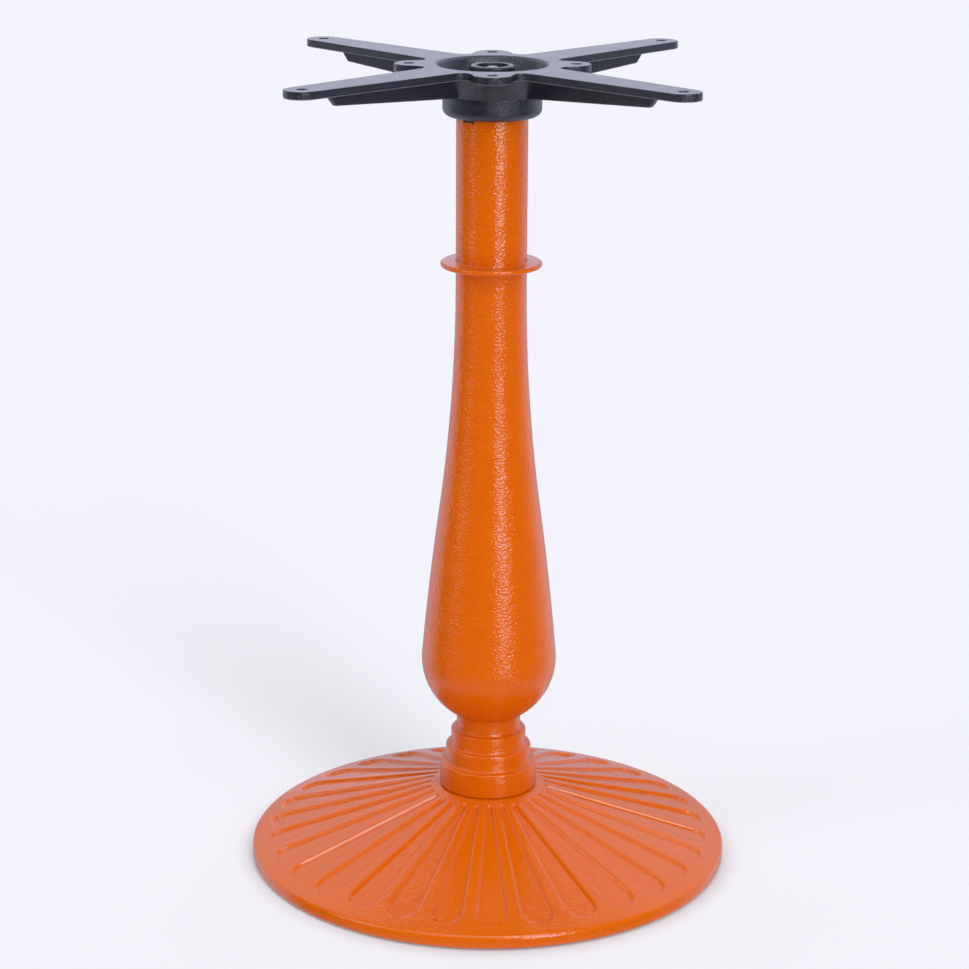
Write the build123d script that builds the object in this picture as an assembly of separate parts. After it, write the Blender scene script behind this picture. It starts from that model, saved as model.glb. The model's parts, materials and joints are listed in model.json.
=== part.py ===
from build123d import *
import os
from math import atan2, cos, degrees, radians, sin, sqrt, tan

# Cast iron pedestal table base. A tie rod clamps a black top spider, a hollow baluster
# column and a fluted round base plate together, and four glides level it on the floor.
# Millimetres and degrees, +Z up, origin on the floor under the column's axis.

TOTAL_HEIGHT = 720.0

# Arms, base ribs and glides stand on the diagonals; cuts run a little past the faces they open
DIAGONAL = 45.0
CUT_PAST = 1.0

# Base plate: a dished cone with a vertical rim, open underneath
BASE_RADIUS = 215.0
FLOOR_GAP = 2.0
RIM_HEIGHT = 10.5
RIM_WALL = 9.0
RIM_ROUND = 3.0
SEAT_HEIGHT = 65.0
SEAT_RADIUS = 45.5
BASE_WALL = 7.5
BOSS_RADIUS = 40.0
BOSS_THICKNESS = 20.0
BASE_RIB_COUNT = 4
BASE_RIB_THICKNESS = 8.0
BASE_RIB_CLEAR = 4.0

# Flutes: shallow troughs down the cone, narrow at the column and wide at the rim
FLUTE_COUNT = 30
FLUTE_TURN = 1.2
FLUTE_DEPTH = 2.2
FLUTE_DRAFT_ANGLE = 30.0
FLUTE_INNER_TIP = 52.0
FLUTE_INNER_RADIUS = 2.4
FLUTE_OUTER_TIP = 200.0
FLUTE_OUTER_RADIUS = 13.4

# Column: heights are measured up from the base plate's seat
STEPS = [(43.9, 23.0), (38.4, 15.6), (33.7, 15.4)]
STEP_ROUND = 2.6
STEP_HOLLOW = 1.0
NECK_RADIUS = 28.8
NECK_FILLET = 2.0
BULB_RADIUS = 60.4
BULB_HEIGHT = 121.5
SHOULDER_LEAN = 5.0
BELLY_RADIUS = 2650.0
SHAFT_RADIUS = 30.8
SHAFT_START = 467.0
RING_RADIUS = 44.0
RING_THICKNESS = 4.5
RING_HEIGHT = 482.5
RING_ROUND = 1.8
COLUMN_WALL = 7.5
SPIGOT_RADIUS = 32.0
SPIGOT_HEIGHT = 6.0
SPIGOT_CLEARANCE = 0.25

# Top spider: a flat star of four long arms and four short lugs
ARM_COUNT = 4
ARM_HOLE_SPACING = 303.0
ARM_TIP_RADIUS = 15.2
ARM_ROOT_RADIUS = 22.6
LUG_HOLE_CIRCLE = 142.0
LUG_END_CIRCLE = 135.0
LUG_RADIUS = 16.2
LUG_ROOT_RADIUS = 31.0
WAIST_RADIUS = 8.0
PLATE_THICKNESS = 6.0
TOP_HOLE_RADIUS = 4.0
ARM_RIB_THICKNESS = 6.0
ARM_RIB_SETBACK = 29.0
ARM_RIB_SLOPE_END = 7.5
ARM_RIB_TIP_DEPTH = 10.8
ARM_RIB_ROUND = 3.0
LUG_BOSS_TOP_RADIUS = 9.4
LUG_BOSS_END_RADIUS = 6.8
LUG_BOSS_DEPTH = 13.0

# Hub under the spider: bowl above, socket for the column below
BOWL_RADIUS = 48.0
BOWL_FLOOR_RADIUS = 40.0
BOWL_DEPTH = 14.0
BOWL_LIP = 2.0
BOWL_CORNER = 6.0
HUB_TOP_RADIUS = 57.0
HUB_RADIUS = 42.6
HUB_CUP_DEPTH = 19.2
HUB_DEPTH = 44.2
HUB_ROUND = 7.0
SOCKET_LENGTH = 18.2
SOCKET_CLEARANCE = 0.25
BOSS_RING_RADIUS = 19.0
BOSS_RING_BORE = 13.5
BOSS_RING_DROP = 1.2
NUT_SEAT_DEPTH = 18.5

# Tie rod, nuts and washers
ROD_RADIUS = 6.0
ROD_CLEARANCE = 0.75
ROD_STANDOUT = 3.5
THREAD_CLEARANCE = 0.05
NUT_ACROSS_FLATS = 18.0
NUT_HEIGHT = 10.0
NUT_CHAMFER = 0.9
WASHER_RADIUS = 12.0
WASHER_THICKNESS = 2.5
WASHER_CLEARANCE = 0.5

# Levelling glides: a nylon pad moulded on a steel stud, screwed into a boss under the cone
GLIDE_COUNT = 4
GLIDE_CIRCLE_RADIUS = 170.0
GLIDE_BOSS_RADIUS = 10.0
GLIDE_PAD_RADIUS = 15.0
GLIDE_PAD_HEIGHT = 6.0
GLIDE_PAD_CHAMFER = 1.2
GLIDE_PAD_ROOM = 1.0
GLIDE_PAD_CLEARANCE = 0.2
GLIDE_STUD_RADIUS = 4.0
GLIDE_STUD_CLEARANCE = 0.05
GLIDE_STUD_EMBED = 3.5
GLIDE_ROOF = 3.5
GLIDE_STUD_TOP_GAP = 0.5

# Places worked out from the sizes above
rim_top = FLOOR_GAP + RIM_HEIGHT
slope = atan2(SEAT_HEIGHT - rim_top, BASE_RADIUS - SEAT_RADIUS)
apex_height = rim_top + BASE_RADIUS * tan(slope)
wall_drop = BASE_WALL / cos(slope)
boss_bottom = SEAT_HEIGHT - BOSS_THICKNESS
rod_hole_radius = ROD_RADIUS + ROD_CLEARANCE
bulb_z = SEAT_HEIGHT + BULB_HEIGHT
ring_z = SEAT_HEIGHT + RING_HEIGHT
shaft_z = SEAT_HEIGHT + SHAFT_START
plate_bottom = TOTAL_HEIGHT - PLATE_THICKNESS
hub_bottom = TOTAL_HEIGHT - HUB_DEPTH
column_top = hub_bottom + SOCKET_LENGTH
bowl_floor = TOTAL_HEIGHT - BOWL_DEPTH
boss_ring_top = TOTAL_HEIGHT - BOSS_RING_DROP
nut_seat = TOTAL_HEIGHT - NUT_SEAT_DEPTH
arm_reach = ARM_HOLE_SPACING / sqrt(2)
lug_reach = LUG_HOLE_CIRCLE / 2


def cone_height(radius):
    """Height of the base plate's upper cone at a distance from the axis."""
    return apex_height - radius * tan(slope)


def around(count, start=0.0):
    """Evenly spaced turns about the vertical axis."""
    return [Rot(0, 0, start + i * 360 / count) for i in range(count)]


def turned(profile):
    """Revolve a profile drawn on the XZ plane about the vertical axis."""
    return revolve(profile, Axis.Z)


def on_xz(points):
    """Closed straight-sided face on the XZ plane from (radius, height) points."""
    return make_face(Polyline([(r, 0, z) for r, z in points], close=True))


def on_circle(centre, radius, angle):
    """Point of a circle on the XZ plane, at an angle in degrees up from the X direction."""
    return (centre[0] + radius * cos(radians(angle)), 0, centre[2] + radius * sin(radians(angle)))


def arc(centre, radius, start, end):
    """Part of a circle on the XZ plane between two angles in degrees."""
    return ThreePointArc(*[on_circle(centre, radius, a) for a in (start, (start + end) / 2, end)])


def rod(radius, bottom, top):
    """Plain upright cylinder."""
    return Pos(0, 0, bottom) * Cylinder(radius, top - bottom, align=(Align.CENTER, Align.CENTER, Align.MIN))


def tapered_slot(start, start_radius, end, end_radius):
    """Flat outline of two circles on the X axis, with straight sides that touch both."""
    circles = Pos(start, 0) * Circle(start_radius) + Pos(end, 0) * Circle(end_radius)
    return make_hull(circles.edges())


def flute_cutter():
    """One flute: drafted walls down from the plane that touches the cone, with room above it."""
    near = FLUTE_INNER_TIP / cos(slope) + FLUTE_INNER_RADIUS
    far = FLUTE_OUTER_TIP / cos(slope) - FLUTE_OUTER_RADIUS
    outline = tapered_slot(near, FLUTE_INNER_RADIUS, far, FLUTE_OUTER_RADIUS)
    trough = extrude(outline, amount=FLUTE_DEPTH, dir=(0, 0, -1), taper=FLUTE_DRAFT_ANGLE)
    above = extrude(outline, amount=FLUTE_DEPTH)
    down_cone = Plane(origin=(0, 0, apex_height), x_dir=(cos(slope), 0, -sin(slope)),
                      z_dir=(sin(slope), 0, cos(slope)))
    return down_cone * (trough + above)


def make_base_plate():
    """Dished shell with a centre boss, a spigot for the column, ribs, glide bosses and flutes."""
    inside = BASE_RADIUS - RIM_WALL
    shell = on_xz([
        (0, boss_bottom), (BOSS_RADIUS, boss_bottom), (BOSS_RADIUS, cone_height(BOSS_RADIUS) - wall_drop),
        (inside, cone_height(inside) - wall_drop), (inside, FLOOR_GAP), (BASE_RADIUS, FLOOR_GAP),
        (BASE_RADIUS, rim_top), (SEAT_RADIUS, SEAT_HEIGHT), (SPIGOT_RADIUS, SEAT_HEIGHT),
        (SPIGOT_RADIUS, SEAT_HEIGHT + SPIGOT_HEIGHT), (0, SEAT_HEIGHT + SPIGOT_HEIGHT)])
    rim_corner = shell.vertices().sort_by_distance((BASE_RADIUS, 0, rim_top))[0]
    body = turned(fillet(rim_corner, RIM_ROUND))

    rib = on_xz([
        (BOSS_RADIUS - CUT_PAST, boss_bottom), (inside + CUT_PAST, FLOOR_GAP + BASE_RIB_CLEAR),
        (inside + CUT_PAST, cone_height(inside) - wall_drop / 2),
        (BOSS_RADIUS - CUT_PAST, cone_height(BOSS_RADIUS) - wall_drop / 2)])
    rib = extrude(rib, amount=BASE_RIB_THICKNESS / 2, dir=(0, 1, 0), both=True)
    pad_top = GLIDE_PAD_HEIGHT + GLIDE_PAD_CLEARANCE
    roof = cone_height(GLIDE_CIRCLE_RADIUS + GLIDE_BOSS_RADIUS) - wall_drop / 2
    boss = Pos(GLIDE_CIRCLE_RADIUS, 0, 0) * rod(GLIDE_BOSS_RADIUS, pad_top, roof)
    hole = Pos(GLIDE_CIRCLE_RADIUS, 0, 0) * rod(GLIDE_STUD_RADIUS + GLIDE_STUD_CLEARANCE, 0, glide_hole_top())
    pad_room = Pos(GLIDE_CIRCLE_RADIUS, 0, 0) * rod(GLIDE_PAD_RADIUS + GLIDE_PAD_ROOM, 0, pad_top)

    body += [turn * rib for turn in around(BASE_RIB_COUNT, DIAGONAL)]
    body += [turn * boss for turn in around(GLIDE_COUNT, DIAGONAL)]
    body -= [turn * pad_room for turn in around(GLIDE_COUNT, DIAGONAL)]
    body -= [turn * hole for turn in around(GLIDE_COUNT, DIAGONAL)]
    body -= rod(rod_hole_radius, boss_bottom - CUT_PAST, SEAT_HEIGHT + SPIGOT_HEIGHT + CUT_PAST)
    flute = flute_cutter()
    body -= [turn * flute for turn in around(FLUTE_COUNT, FLUTE_TURN - 90)]
    return body


def glide_hole_top():
    """Blind end of a glide's tapped hole, below the flute floor on its outer side."""
    return cone_height(GLIDE_CIRCLE_RADIUS + GLIDE_STUD_RADIUS) - FLUTE_DEPTH / cos(slope) - GLIDE_ROOF


def neck_joint(inset):
    """Height where the ball of the bulb meets the neck, both moved in by an inset."""
    return bulb_z - sqrt((BULB_RADIUS - inset) ** 2 - (NECK_RADIUS - inset) ** 2)


def baluster(inset):
    """Ball, belly and flare as touching arcs from the neck up to the shaft, moved in by an inset."""
    ball = (0, 0, bulb_z)
    belly = on_circle(ball, BULB_RADIUS - BELLY_RADIUS, SHOULDER_LEAN)
    reach_in = belly[0] + BELLY_RADIUS - SHAFT_RADIUS
    lean = degrees(2 * atan2(reach_in, shaft_z - belly[2]))
    flare_radius = (shaft_z - belly[2]) / sin(radians(lean)) - BELLY_RADIUS
    flare = on_circle(belly, BELLY_RADIUS + flare_radius, lean)
    start = -degrees(atan2(bulb_z - neck_joint(inset), NECK_RADIUS - inset))
    return [arc(ball, BULB_RADIUS - inset, start, SHOULDER_LEAN),
            arc(belly, BELLY_RADIUS - inset, SHOULDER_LEAN, lean),
            arc(flare, flare_radius + inset, 180 + lean, 180)]


def make_column():
    """Hollow turned casting: stepped foot, neck, bulb, taper, ring and plain shaft."""
    joint = neck_joint(0)
    corners = [(0, column_top), (0, SEAT_HEIGHT), (STEPS[0][0], SEAT_HEIGHT)]
    rounded = []
    hollowed = []
    height = SEAT_HEIGHT
    inner_radii = [radius for radius, _ in STEPS[1:]] + [NECK_RADIUS]
    for (radius, rise), inner in zip(STEPS, inner_radii):
        height += rise
        corners += [(radius, height), (inner, height)]
        rounded.append((radius, 0, height))
        hollowed.append((inner, 0, height))
    corners.append((NECK_RADIUS, joint))
    lower = Polyline([(r, 0, z) for r, z in corners])
    shaft = Polyline([(SHAFT_RADIUS, 0, shaft_z), (SHAFT_RADIUS, 0, column_top), (0, 0, column_top)])
    outside = make_face([lower, shaft] + baluster(0))
    outside = fillet([outside.vertices().sort_by_distance(p)[0] for p in rounded], STEP_ROUND)
    outside = fillet([outside.vertices().sort_by_distance(p)[0] for p in hollowed], STEP_HOLLOW)
    outside = fillet(outside.vertices().sort_by_distance((NECK_RADIUS, 0, joint))[0], NECK_FILLET)
    ring = on_xz([(0, ring_z - RING_THICKNESS / 2), (RING_RADIUS, ring_z - RING_THICKNESS / 2),
                  (RING_RADIUS, ring_z + RING_THICKNESS / 2), (0, ring_z + RING_THICKNESS / 2)])
    ring = fillet(ring.vertices().group_by(Axis.X)[-1], RING_ROUND)

    core_neck = NECK_RADIUS - COLUMN_WALL
    core_shaft = SHAFT_RADIUS - COLUMN_WALL
    core_lower = Polyline([(0, 0, column_top), (0, 0, SEAT_HEIGHT), (core_neck, 0, SEAT_HEIGHT),
                           (core_neck, 0, neck_joint(COLUMN_WALL))])
    core_upper = Polyline([(core_shaft, 0, shaft_z), (core_shaft, 0, column_top), (0, 0, column_top)])
    core = make_face([core_lower, core_upper] + baluster(COLUMN_WALL))
    recess_top = SEAT_HEIGHT + SPIGOT_HEIGHT + SPIGOT_CLEARANCE
    recess = rod(SPIGOT_RADIUS + SPIGOT_CLEARANCE, SEAT_HEIGHT - CUT_PAST, recess_top)
    return turned(outside) + turned(ring) - turned(core) - recess


def spider_outline():
    """Plan of the spider's flat star: tapered arms on the diagonals, lugs between them."""
    arm = tapered_slot(0, ARM_ROOT_RADIUS, arm_reach, ARM_TIP_RADIUS)
    lug = tapered_slot(0, LUG_ROOT_RADIUS, LUG_END_CIRCLE / 2, LUG_RADIUS)
    star = Sketch() + [turn * arm for turn in around(ARM_COUNT, DIAGONAL)]
    star += [turn * lug for turn in around(ARM_COUNT)]
    waists = star.vertices().sort_by_distance((0, 0, 0))[:2 * ARM_COUNT]
    return fillet(waists, WAIST_RADIUS)


def make_top_spider():
    """Black casting: flat star, ribs under the arms, bossed lugs and the hub with its bowl."""
    body = extrude(Pos(0, 0, plate_bottom) * spider_outline(), amount=PLATE_THICKNESS)
    cup_bottom = plate_bottom - HUB_CUP_DEPTH
    rib_end = arm_reach - ARM_RIB_SETBACK
    rib_tip = (rib_end - ARM_RIB_SLOPE_END, plate_bottom - ARM_RIB_TIP_DEPTH)
    rib = on_xz([(0, plate_bottom), (rib_end, plate_bottom), rib_tip, (HUB_RADIUS, cup_bottom), (0, cup_bottom)])
    rib = fillet(rib.vertices().sort_by_distance((rib_tip[0], 0, rib_tip[1]))[0], ARM_RIB_ROUND)
    rib = extrude(rib, amount=ARM_RIB_THICKNESS / 2, dir=(0, 1, 0), both=True)
    boss = turned(on_xz([(0, plate_bottom), (LUG_BOSS_TOP_RADIUS, plate_bottom),
                         (LUG_BOSS_END_RADIUS, plate_bottom - LUG_BOSS_DEPTH),
                         (0, plate_bottom - LUG_BOSS_DEPTH)]))
    hub = on_xz([(0, hub_bottom), (HUB_RADIUS, hub_bottom), (HUB_RADIUS, cup_bottom),
                 (HUB_TOP_RADIUS, plate_bottom), (0, plate_bottom)])
    hub = fillet(hub.vertices().sort_by_distance((HUB_RADIUS, 0, hub_bottom))[0], HUB_ROUND)
    body += [turn * rib for turn in around(ARM_COUNT, DIAGONAL)]
    body += [turn * Pos(lug_reach, 0, 0) * boss for turn in around(ARM_COUNT)]
    body += turned(hub)

    above = TOTAL_HEIGHT + CUT_PAST
    bowl = on_xz([
        (0, boss_ring_top), (BOSS_RING_RADIUS, boss_ring_top), (BOSS_RING_RADIUS, bowl_floor),
        (BOWL_FLOOR_RADIUS, bowl_floor), (BOWL_RADIUS - BOWL_LIP, TOTAL_HEIGHT - BOWL_LIP),
        (BOWL_RADIUS, TOTAL_HEIGHT), (BOWL_RADIUS, above), (0, above)])
    bowl = fillet(bowl.vertices().sort_by_distance((BOWL_FLOOR_RADIUS, 0, bowl_floor))[0], BOWL_CORNER)
    body -= turned(bowl)
    body -= rod(BOSS_RING_BORE, nut_seat, above)
    body -= rod(rod_hole_radius, column_top - CUT_PAST, above)
    body -= rod(SHAFT_RADIUS + SOCKET_CLEARANCE, hub_bottom - CUT_PAST, column_top)
    hole = rod(TOP_HOLE_RADIUS, plate_bottom - LUG_BOSS_DEPTH - CUT_PAST, above)
    body -= [turn * Pos(arm_reach, 0, 0) * hole for turn in around(ARM_COUNT, DIAGONAL)]
    body -= [turn * Pos(lug_reach, 0, 0) * hole for turn in around(ARM_COUNT)]
    return body


def make_nut(bottom):
    """Hexagon nut with its corners turned off at both ends."""
    corner_radius = NUT_ACROSS_FLATS / 2 / cos(radians(30))
    blank = extrude(Pos(0, 0, bottom) * RegularPolygon(corner_radius, 6), amount=NUT_HEIGHT)
    top = bottom + NUT_HEIGHT
    turned_blank = turned(on_xz([
        (0, bottom), (NUT_ACROSS_FLATS / 2, bottom), (corner_radius, bottom + NUT_CHAMFER),
        (corner_radius, top - NUT_CHAMFER), (NUT_ACROSS_FLATS / 2, top), (0, top)]))
    bore = rod(ROD_RADIUS + THREAD_CLEARANCE, bottom - CUT_PAST, top + CUT_PAST)
    return (blank & turned_blank) - bore


def make_washer(bottom):
    """Plain flat washer."""
    top = bottom + WASHER_THICKNESS
    hole = rod(ROD_RADIUS + WASHER_CLEARANCE, bottom - CUT_PAST, top + CUT_PAST)
    return rod(WASHER_RADIUS, bottom, top) - hole


def make_pad():
    """Nylon foot of a glide, round and chamfered at the floor."""
    pad = turned(on_xz([(0, 0), (GLIDE_PAD_RADIUS - GLIDE_PAD_CHAMFER, 0), (GLIDE_PAD_RADIUS, GLIDE_PAD_CHAMFER),
                        (GLIDE_PAD_RADIUS, GLIDE_PAD_HEIGHT), (0, GLIDE_PAD_HEIGHT)]))
    return pad - rod(GLIDE_STUD_RADIUS, GLIDE_PAD_HEIGHT - GLIDE_STUD_EMBED, GLIDE_PAD_HEIGHT + CUT_PAST)


def make_stud():
    """Steel stud of a glide, from inside the pad to near the blind end of its hole."""
    return rod(GLIDE_STUD_RADIUS, GLIDE_PAD_HEIGHT - GLIDE_STUD_EMBED, glide_hole_top() - GLIDE_STUD_TOP_GAP)


def make_parts():
    """Every piece by its name, in place."""
    top_nut_bottom = nut_seat + WASHER_THICKNESS
    base_nut_bottom = boss_bottom - WASHER_THICKNESS - NUT_HEIGHT
    parts = {
        "base_plate": make_base_plate(),
        "column": make_column(),
        "top_spider": make_top_spider(),
        "tie_rod": rod(ROD_RADIUS, base_nut_bottom - ROD_STANDOUT, top_nut_bottom + NUT_HEIGHT + ROD_STANDOUT),
        "top_washer": make_washer(nut_seat),
        "top_nut": make_nut(top_nut_bottom),
        "base_washer": make_washer(boss_bottom - WASHER_THICKNESS),
        "base_nut": make_nut(base_nut_bottom),
    }
    for number, turn in enumerate(around(GLIDE_COUNT, DIAGONAL), 1):
        place = turn * Pos(GLIDE_CIRCLE_RADIUS, 0, 0)
        parts[f"foot_{number}_pad"] = place * make_pad()
        parts[f"foot_{number}_stud"] = place * make_stud()
    return parts


os.makedirs("parts", exist_ok=True)
for name, shape in make_parts().items():
    export_step(shape, f"parts/{name}.step")
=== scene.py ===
# %% [markdown]
# # A cast iron table base, dressed for its portrait
#
# The object is a pedestal for a bistro table: a round fluted foot, a turned hollow column and a
# black four-armed spider that screws to the table top, all clamped by one long tie rod. The
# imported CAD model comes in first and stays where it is. It gives the places and the sizes, and
# every piece that is modelled below stands exactly where the CAD piece stands.

# %% Load the frame and keep its box
import json
import bpy
import numpy as np
from math import atan2, ceil, cos, degrees, pi, radians, sin, sqrt, tan
from mathutils import Matrix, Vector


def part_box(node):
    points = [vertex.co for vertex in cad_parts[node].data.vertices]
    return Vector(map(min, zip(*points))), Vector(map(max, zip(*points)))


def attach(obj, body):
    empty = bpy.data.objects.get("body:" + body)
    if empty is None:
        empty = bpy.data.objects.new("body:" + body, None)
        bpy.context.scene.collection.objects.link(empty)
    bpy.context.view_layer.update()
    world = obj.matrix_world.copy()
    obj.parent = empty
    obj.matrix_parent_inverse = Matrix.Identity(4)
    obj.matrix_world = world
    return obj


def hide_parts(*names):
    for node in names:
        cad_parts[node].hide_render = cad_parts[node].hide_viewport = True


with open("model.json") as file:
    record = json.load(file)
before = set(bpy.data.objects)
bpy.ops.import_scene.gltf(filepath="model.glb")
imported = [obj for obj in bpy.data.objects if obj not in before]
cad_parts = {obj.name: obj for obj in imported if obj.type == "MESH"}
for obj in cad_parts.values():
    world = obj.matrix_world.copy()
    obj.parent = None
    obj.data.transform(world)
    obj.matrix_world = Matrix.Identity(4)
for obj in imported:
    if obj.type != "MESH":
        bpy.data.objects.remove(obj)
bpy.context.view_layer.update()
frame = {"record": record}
MM = 0.001


# %% [markdown]
# ## The camera
#
# A product photograph is usually taken from far away with a long lens, because that keeps the
# proportions calm. One could guess the view by turning the camera until it looks right. Here the
# distance, the tilt and the focal length were fitted to the object's own circles and edges in
# the picture, so the model and the photograph lie on top of each other.

# %% Set the camera
IMAGE_SIZE = 969
FOCAL_PIXELS = 2752.55
CAMERA_PLACE = (-0.0048, -2.33189, 1.05065)
CAMERA_TILT_DOWN = 0.2927
CAMERA_ROLL = 0.0058
SENSOR_WIDTH = 36.0

camera_data = bpy.data.cameras.new("portrait_camera")
camera_data.sensor_width = SENSOR_WIDTH
camera_data.lens = SENSOR_WIDTH * FOCAL_PIXELS / IMAGE_SIZE
camera = bpy.data.objects.new("portrait_camera", camera_data)
bpy.context.scene.collection.objects.link(camera)
aim = Matrix.Rotation(pi / 2 - CAMERA_TILT_DOWN, 4, "X") @ Matrix.Rotation(CAMERA_ROLL, 4, "Z")
camera.matrix_world = Matrix.Translation(CAMERA_PLACE) @ aim
bpy.context.scene.camera = camera
print("lens", round(camera_data.lens, 1), "mm, tilted down", round(degrees(CAMERA_TILT_DOWN), 1),
      "degrees")

# %% [markdown]
# ## Colours and nodes
#
# Colours are written as the sRGB hex values that one reads off a picture. Blender's shaders
# work with linear light, so one function turns the first into the second. A second small
# function adds a shader node with its settings and its links, which keeps each material as short
# as a recipe.

# %% Helpers for materials
SOFT_RAMP = {"interpolation_type": "SMOOTHSTEP"}


def linear(hex_colour):
    """Linear RGBA of an sRGB hex colour."""
    channels = [int(hex_colour[i:i + 2], 16) / 255 for i in (1, 3, 5)]
    return [c / 12.92 if c <= 0.04045 else ((c + 0.055) / 1.055) ** 2.4 for c in channels] + [1.0]


def add_node(tree, kind, settings=None, inputs=None, links=None):
    """Adds a node, sets its properties and input values, and links its inputs."""
    node = tree.nodes.new(kind)
    for name, value in (settings or {}).items():
        setattr(node, name, value)
    for name, value in (inputs or {}).items():
        node.inputs[name].default_value = value
    for name, source in (links or {}).items():
        tree.links.new(source, node.inputs[name])
    return node


def new_material(name):
    """An empty material and its node tree."""
    material = bpy.data.materials.new(name)
    material.use_nodes = True
    material.node_tree.nodes.clear()
    return material, material.node_tree


def per_mm(size):
    """Texture scale, in repeats per metre, of features that are this many millimetres wide."""
    return 1 / (size * MM)


# %% [markdown]
# ## Floor
#
# The floor is one sheet of pale acrylic, so large that its edge is never in the picture. Product
# studios light such a sheet from below, which takes most of the weight out of the shadow, so here
# the floor glows a little and only the rest of its light comes from above. The paint's gloss shows
# no floor, so mirror rays pass by it. The glow fades out towards the middle, under the base, which
# paints a thin shadow under and round the rim. Seen from low down, a sheet has a horizon. A wall of
# the same pale tone stands far off for such views, and no light or mirror ray meets it.

# %% Lay the floor
FLOOR_COLOUR = "#C2C1C0"
FLOOR_GLOW_COLOUR = "#F5F4F3"
FLOOR_GLOW = 0.37
# Radii in mm of the painted shadow round the base: no glow inside the first, full glow past the
# second
PAINTED_SHADOW_INNER, PAINTED_SHADOW_OUTER = 190.0, 235.0
FLOOR_SIZE = 60.0

bpy.ops.object.select_all(action="DESELECT")
bpy.ops.mesh.primitive_plane_add(size=FLOOR_SIZE)
floor = bpy.context.object
floor.name = "studio_floor"
floor.visible_glossy = False
acrylic_with_painted_shadow, tree = new_material("glowing_acrylic_with_painted_shadow")
place = add_node(tree, "ShaderNodeTexCoord").outputs["Object"]
from_axis = add_node(tree, "ShaderNodeVectorMath", {"operation": "LENGTH"}, links={0: place})
# Painted shadow: the glow is faded out towards the axis, so the floor under and round the base rim
# stays darker
glow = add_node(tree, "ShaderNodeMapRange", SOFT_RAMP,
                {"From Min": PAINTED_SHADOW_INNER * MM, "From Max": PAINTED_SHADOW_OUTER * MM, "To Max": FLOOR_GLOW},
                {"Value": from_axis.outputs["Value"]})
surface = add_node(tree, "ShaderNodeBsdfPrincipled",
                   inputs={"Base Color": linear(FLOOR_COLOUR), "Roughness": 0.9,
                           "Specular IOR Level": 0.0, "Emission Color": linear(FLOOR_GLOW_COLOUR)},
                   links={"Emission Strength": glow.outputs["Result"]})
add_node(tree, "ShaderNodeOutputMaterial", links={"Surface": surface.outputs["BSDF"]})
floor.data.materials.append(acrylic_with_painted_shadow)
print("stage:", floor.name)

# %% Stand a wall at the horizon
WALL_COLOUR = "#F3F4FC"
WALL_REACH, WALL_HEIGHT = 28.0, 24.0

bpy.ops.object.select_all(action="DESELECT")
bpy.ops.mesh.primitive_cylinder_add(vertices=96, radius=WALL_REACH, depth=WALL_HEIGHT,
                                    end_fill_type="NOTHING", location=(0, 0, WALL_HEIGHT / 2))
bpy.ops.object.transform_apply(location=True, rotation=False, scale=False)
studio_wall = bpy.context.object
studio_wall.name = "studio_wall"
for ray in ("diffuse", "glossy", "transmission", "volume_scatter", "shadow"):
    setattr(studio_wall, "visible_" + ray, False)
pale_wall, tree = new_material("pale_studio_wall")
shine = add_node(tree, "ShaderNodeEmission", inputs={"Color": linear(WALL_COLOUR)})
add_node(tree, "ShaderNodeOutputMaterial", links={"Surface": shine.outputs["Emission"]})
studio_wall.data.materials.append(pale_wall)
print("stage:", studio_wall.name)

# %% [markdown]
# ## Light
#
# A studio for glossy things is mostly dark, with a few large white surfaces placed where their
# mirror image draws the form. Here a tall soft box stands to the right of the camera and a weaker
# one further to the left, a wide bank hangs above the camera, and a small box is overhead. A bluish
# white backdrop starts behind the object's shoulders. It is dim low down behind the object, apart
# from one lit strip that the level arms mirror. Below, the sky is pale again, for the faces that
# look down at the floor. Lamps could do it, but lamps near the floor leave bright spots on it. So
# the studio is painted on the world's sky by direction, infinitely far away, which lights the floor
# evenly. Each white surface is a brightness, bounded by soft ramps in compass angle and height. A
# negative one takes light away, and so dims the backdrop.

# %% Find the directions on the sky
world = bpy.data.worlds.new("studio_sky")
world.use_nodes = True
sky = world.node_tree
sky.nodes.clear()
direction = add_node(sky, "ShaderNodeTexCoord").outputs["Generated"]
flat = add_node(sky, "ShaderNodeVectorMath", {"operation": "MULTIPLY"}, {1: (1, 1, 0)},
                {0: direction})
compass = add_node(sky, "ShaderNodeVectorMath", {"operation": "NORMALIZE"},
                   links={0: flat.outputs["Vector"]})
around = add_node(sky, "ShaderNodeSeparateXYZ", links={"Vector": compass.outputs["Vector"]})
rightward, backward = around.outputs["X"], around.outputs["Y"]
upward = add_node(sky, "ShaderNodeSeparateXYZ", links={"Vector": direction}).outputs["Z"]
print("sky directions:", len(sky.nodes), "nodes")


# %% Bound a white surface
def lit(brightness, ramps):
    """A light on the sky: a brightness that comes up along each soft ramp (value, start, end)."""
    light = None
    for value, start, end in ramps:
        links = {"Value": value}
        if light is not None:
            links["To Max"] = light
        ramp = add_node(sky, "ShaderNodeMapRange", SOFT_RAMP,
                        {"From Min": start, "From Max": end, "To Max": brightness}, links)
        light = ramp.outputs["Result"]
    return light


def window(turn, half_width, bottom, top, edge=4):
    """Ramps round a window at an angle right of the camera, between two heights, in degrees."""
    facing = add_node(sky, "ShaderNodeVectorMath", {"operation": "DOT_PRODUCT"},
                      {1: (sin(radians(turn)), -cos(radians(turn)), 0)},
                      {0: compass.outputs["Vector"]})
    return [(facing.outputs["Value"], cos(radians(half_width + edge)),
             cos(radians(half_width - edge))),
            (upward, sin(radians(bottom - edge)), sin(radians(bottom + edge))),
            (upward, sin(radians(top + edge)), sin(radians(top - edge)))]


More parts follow.
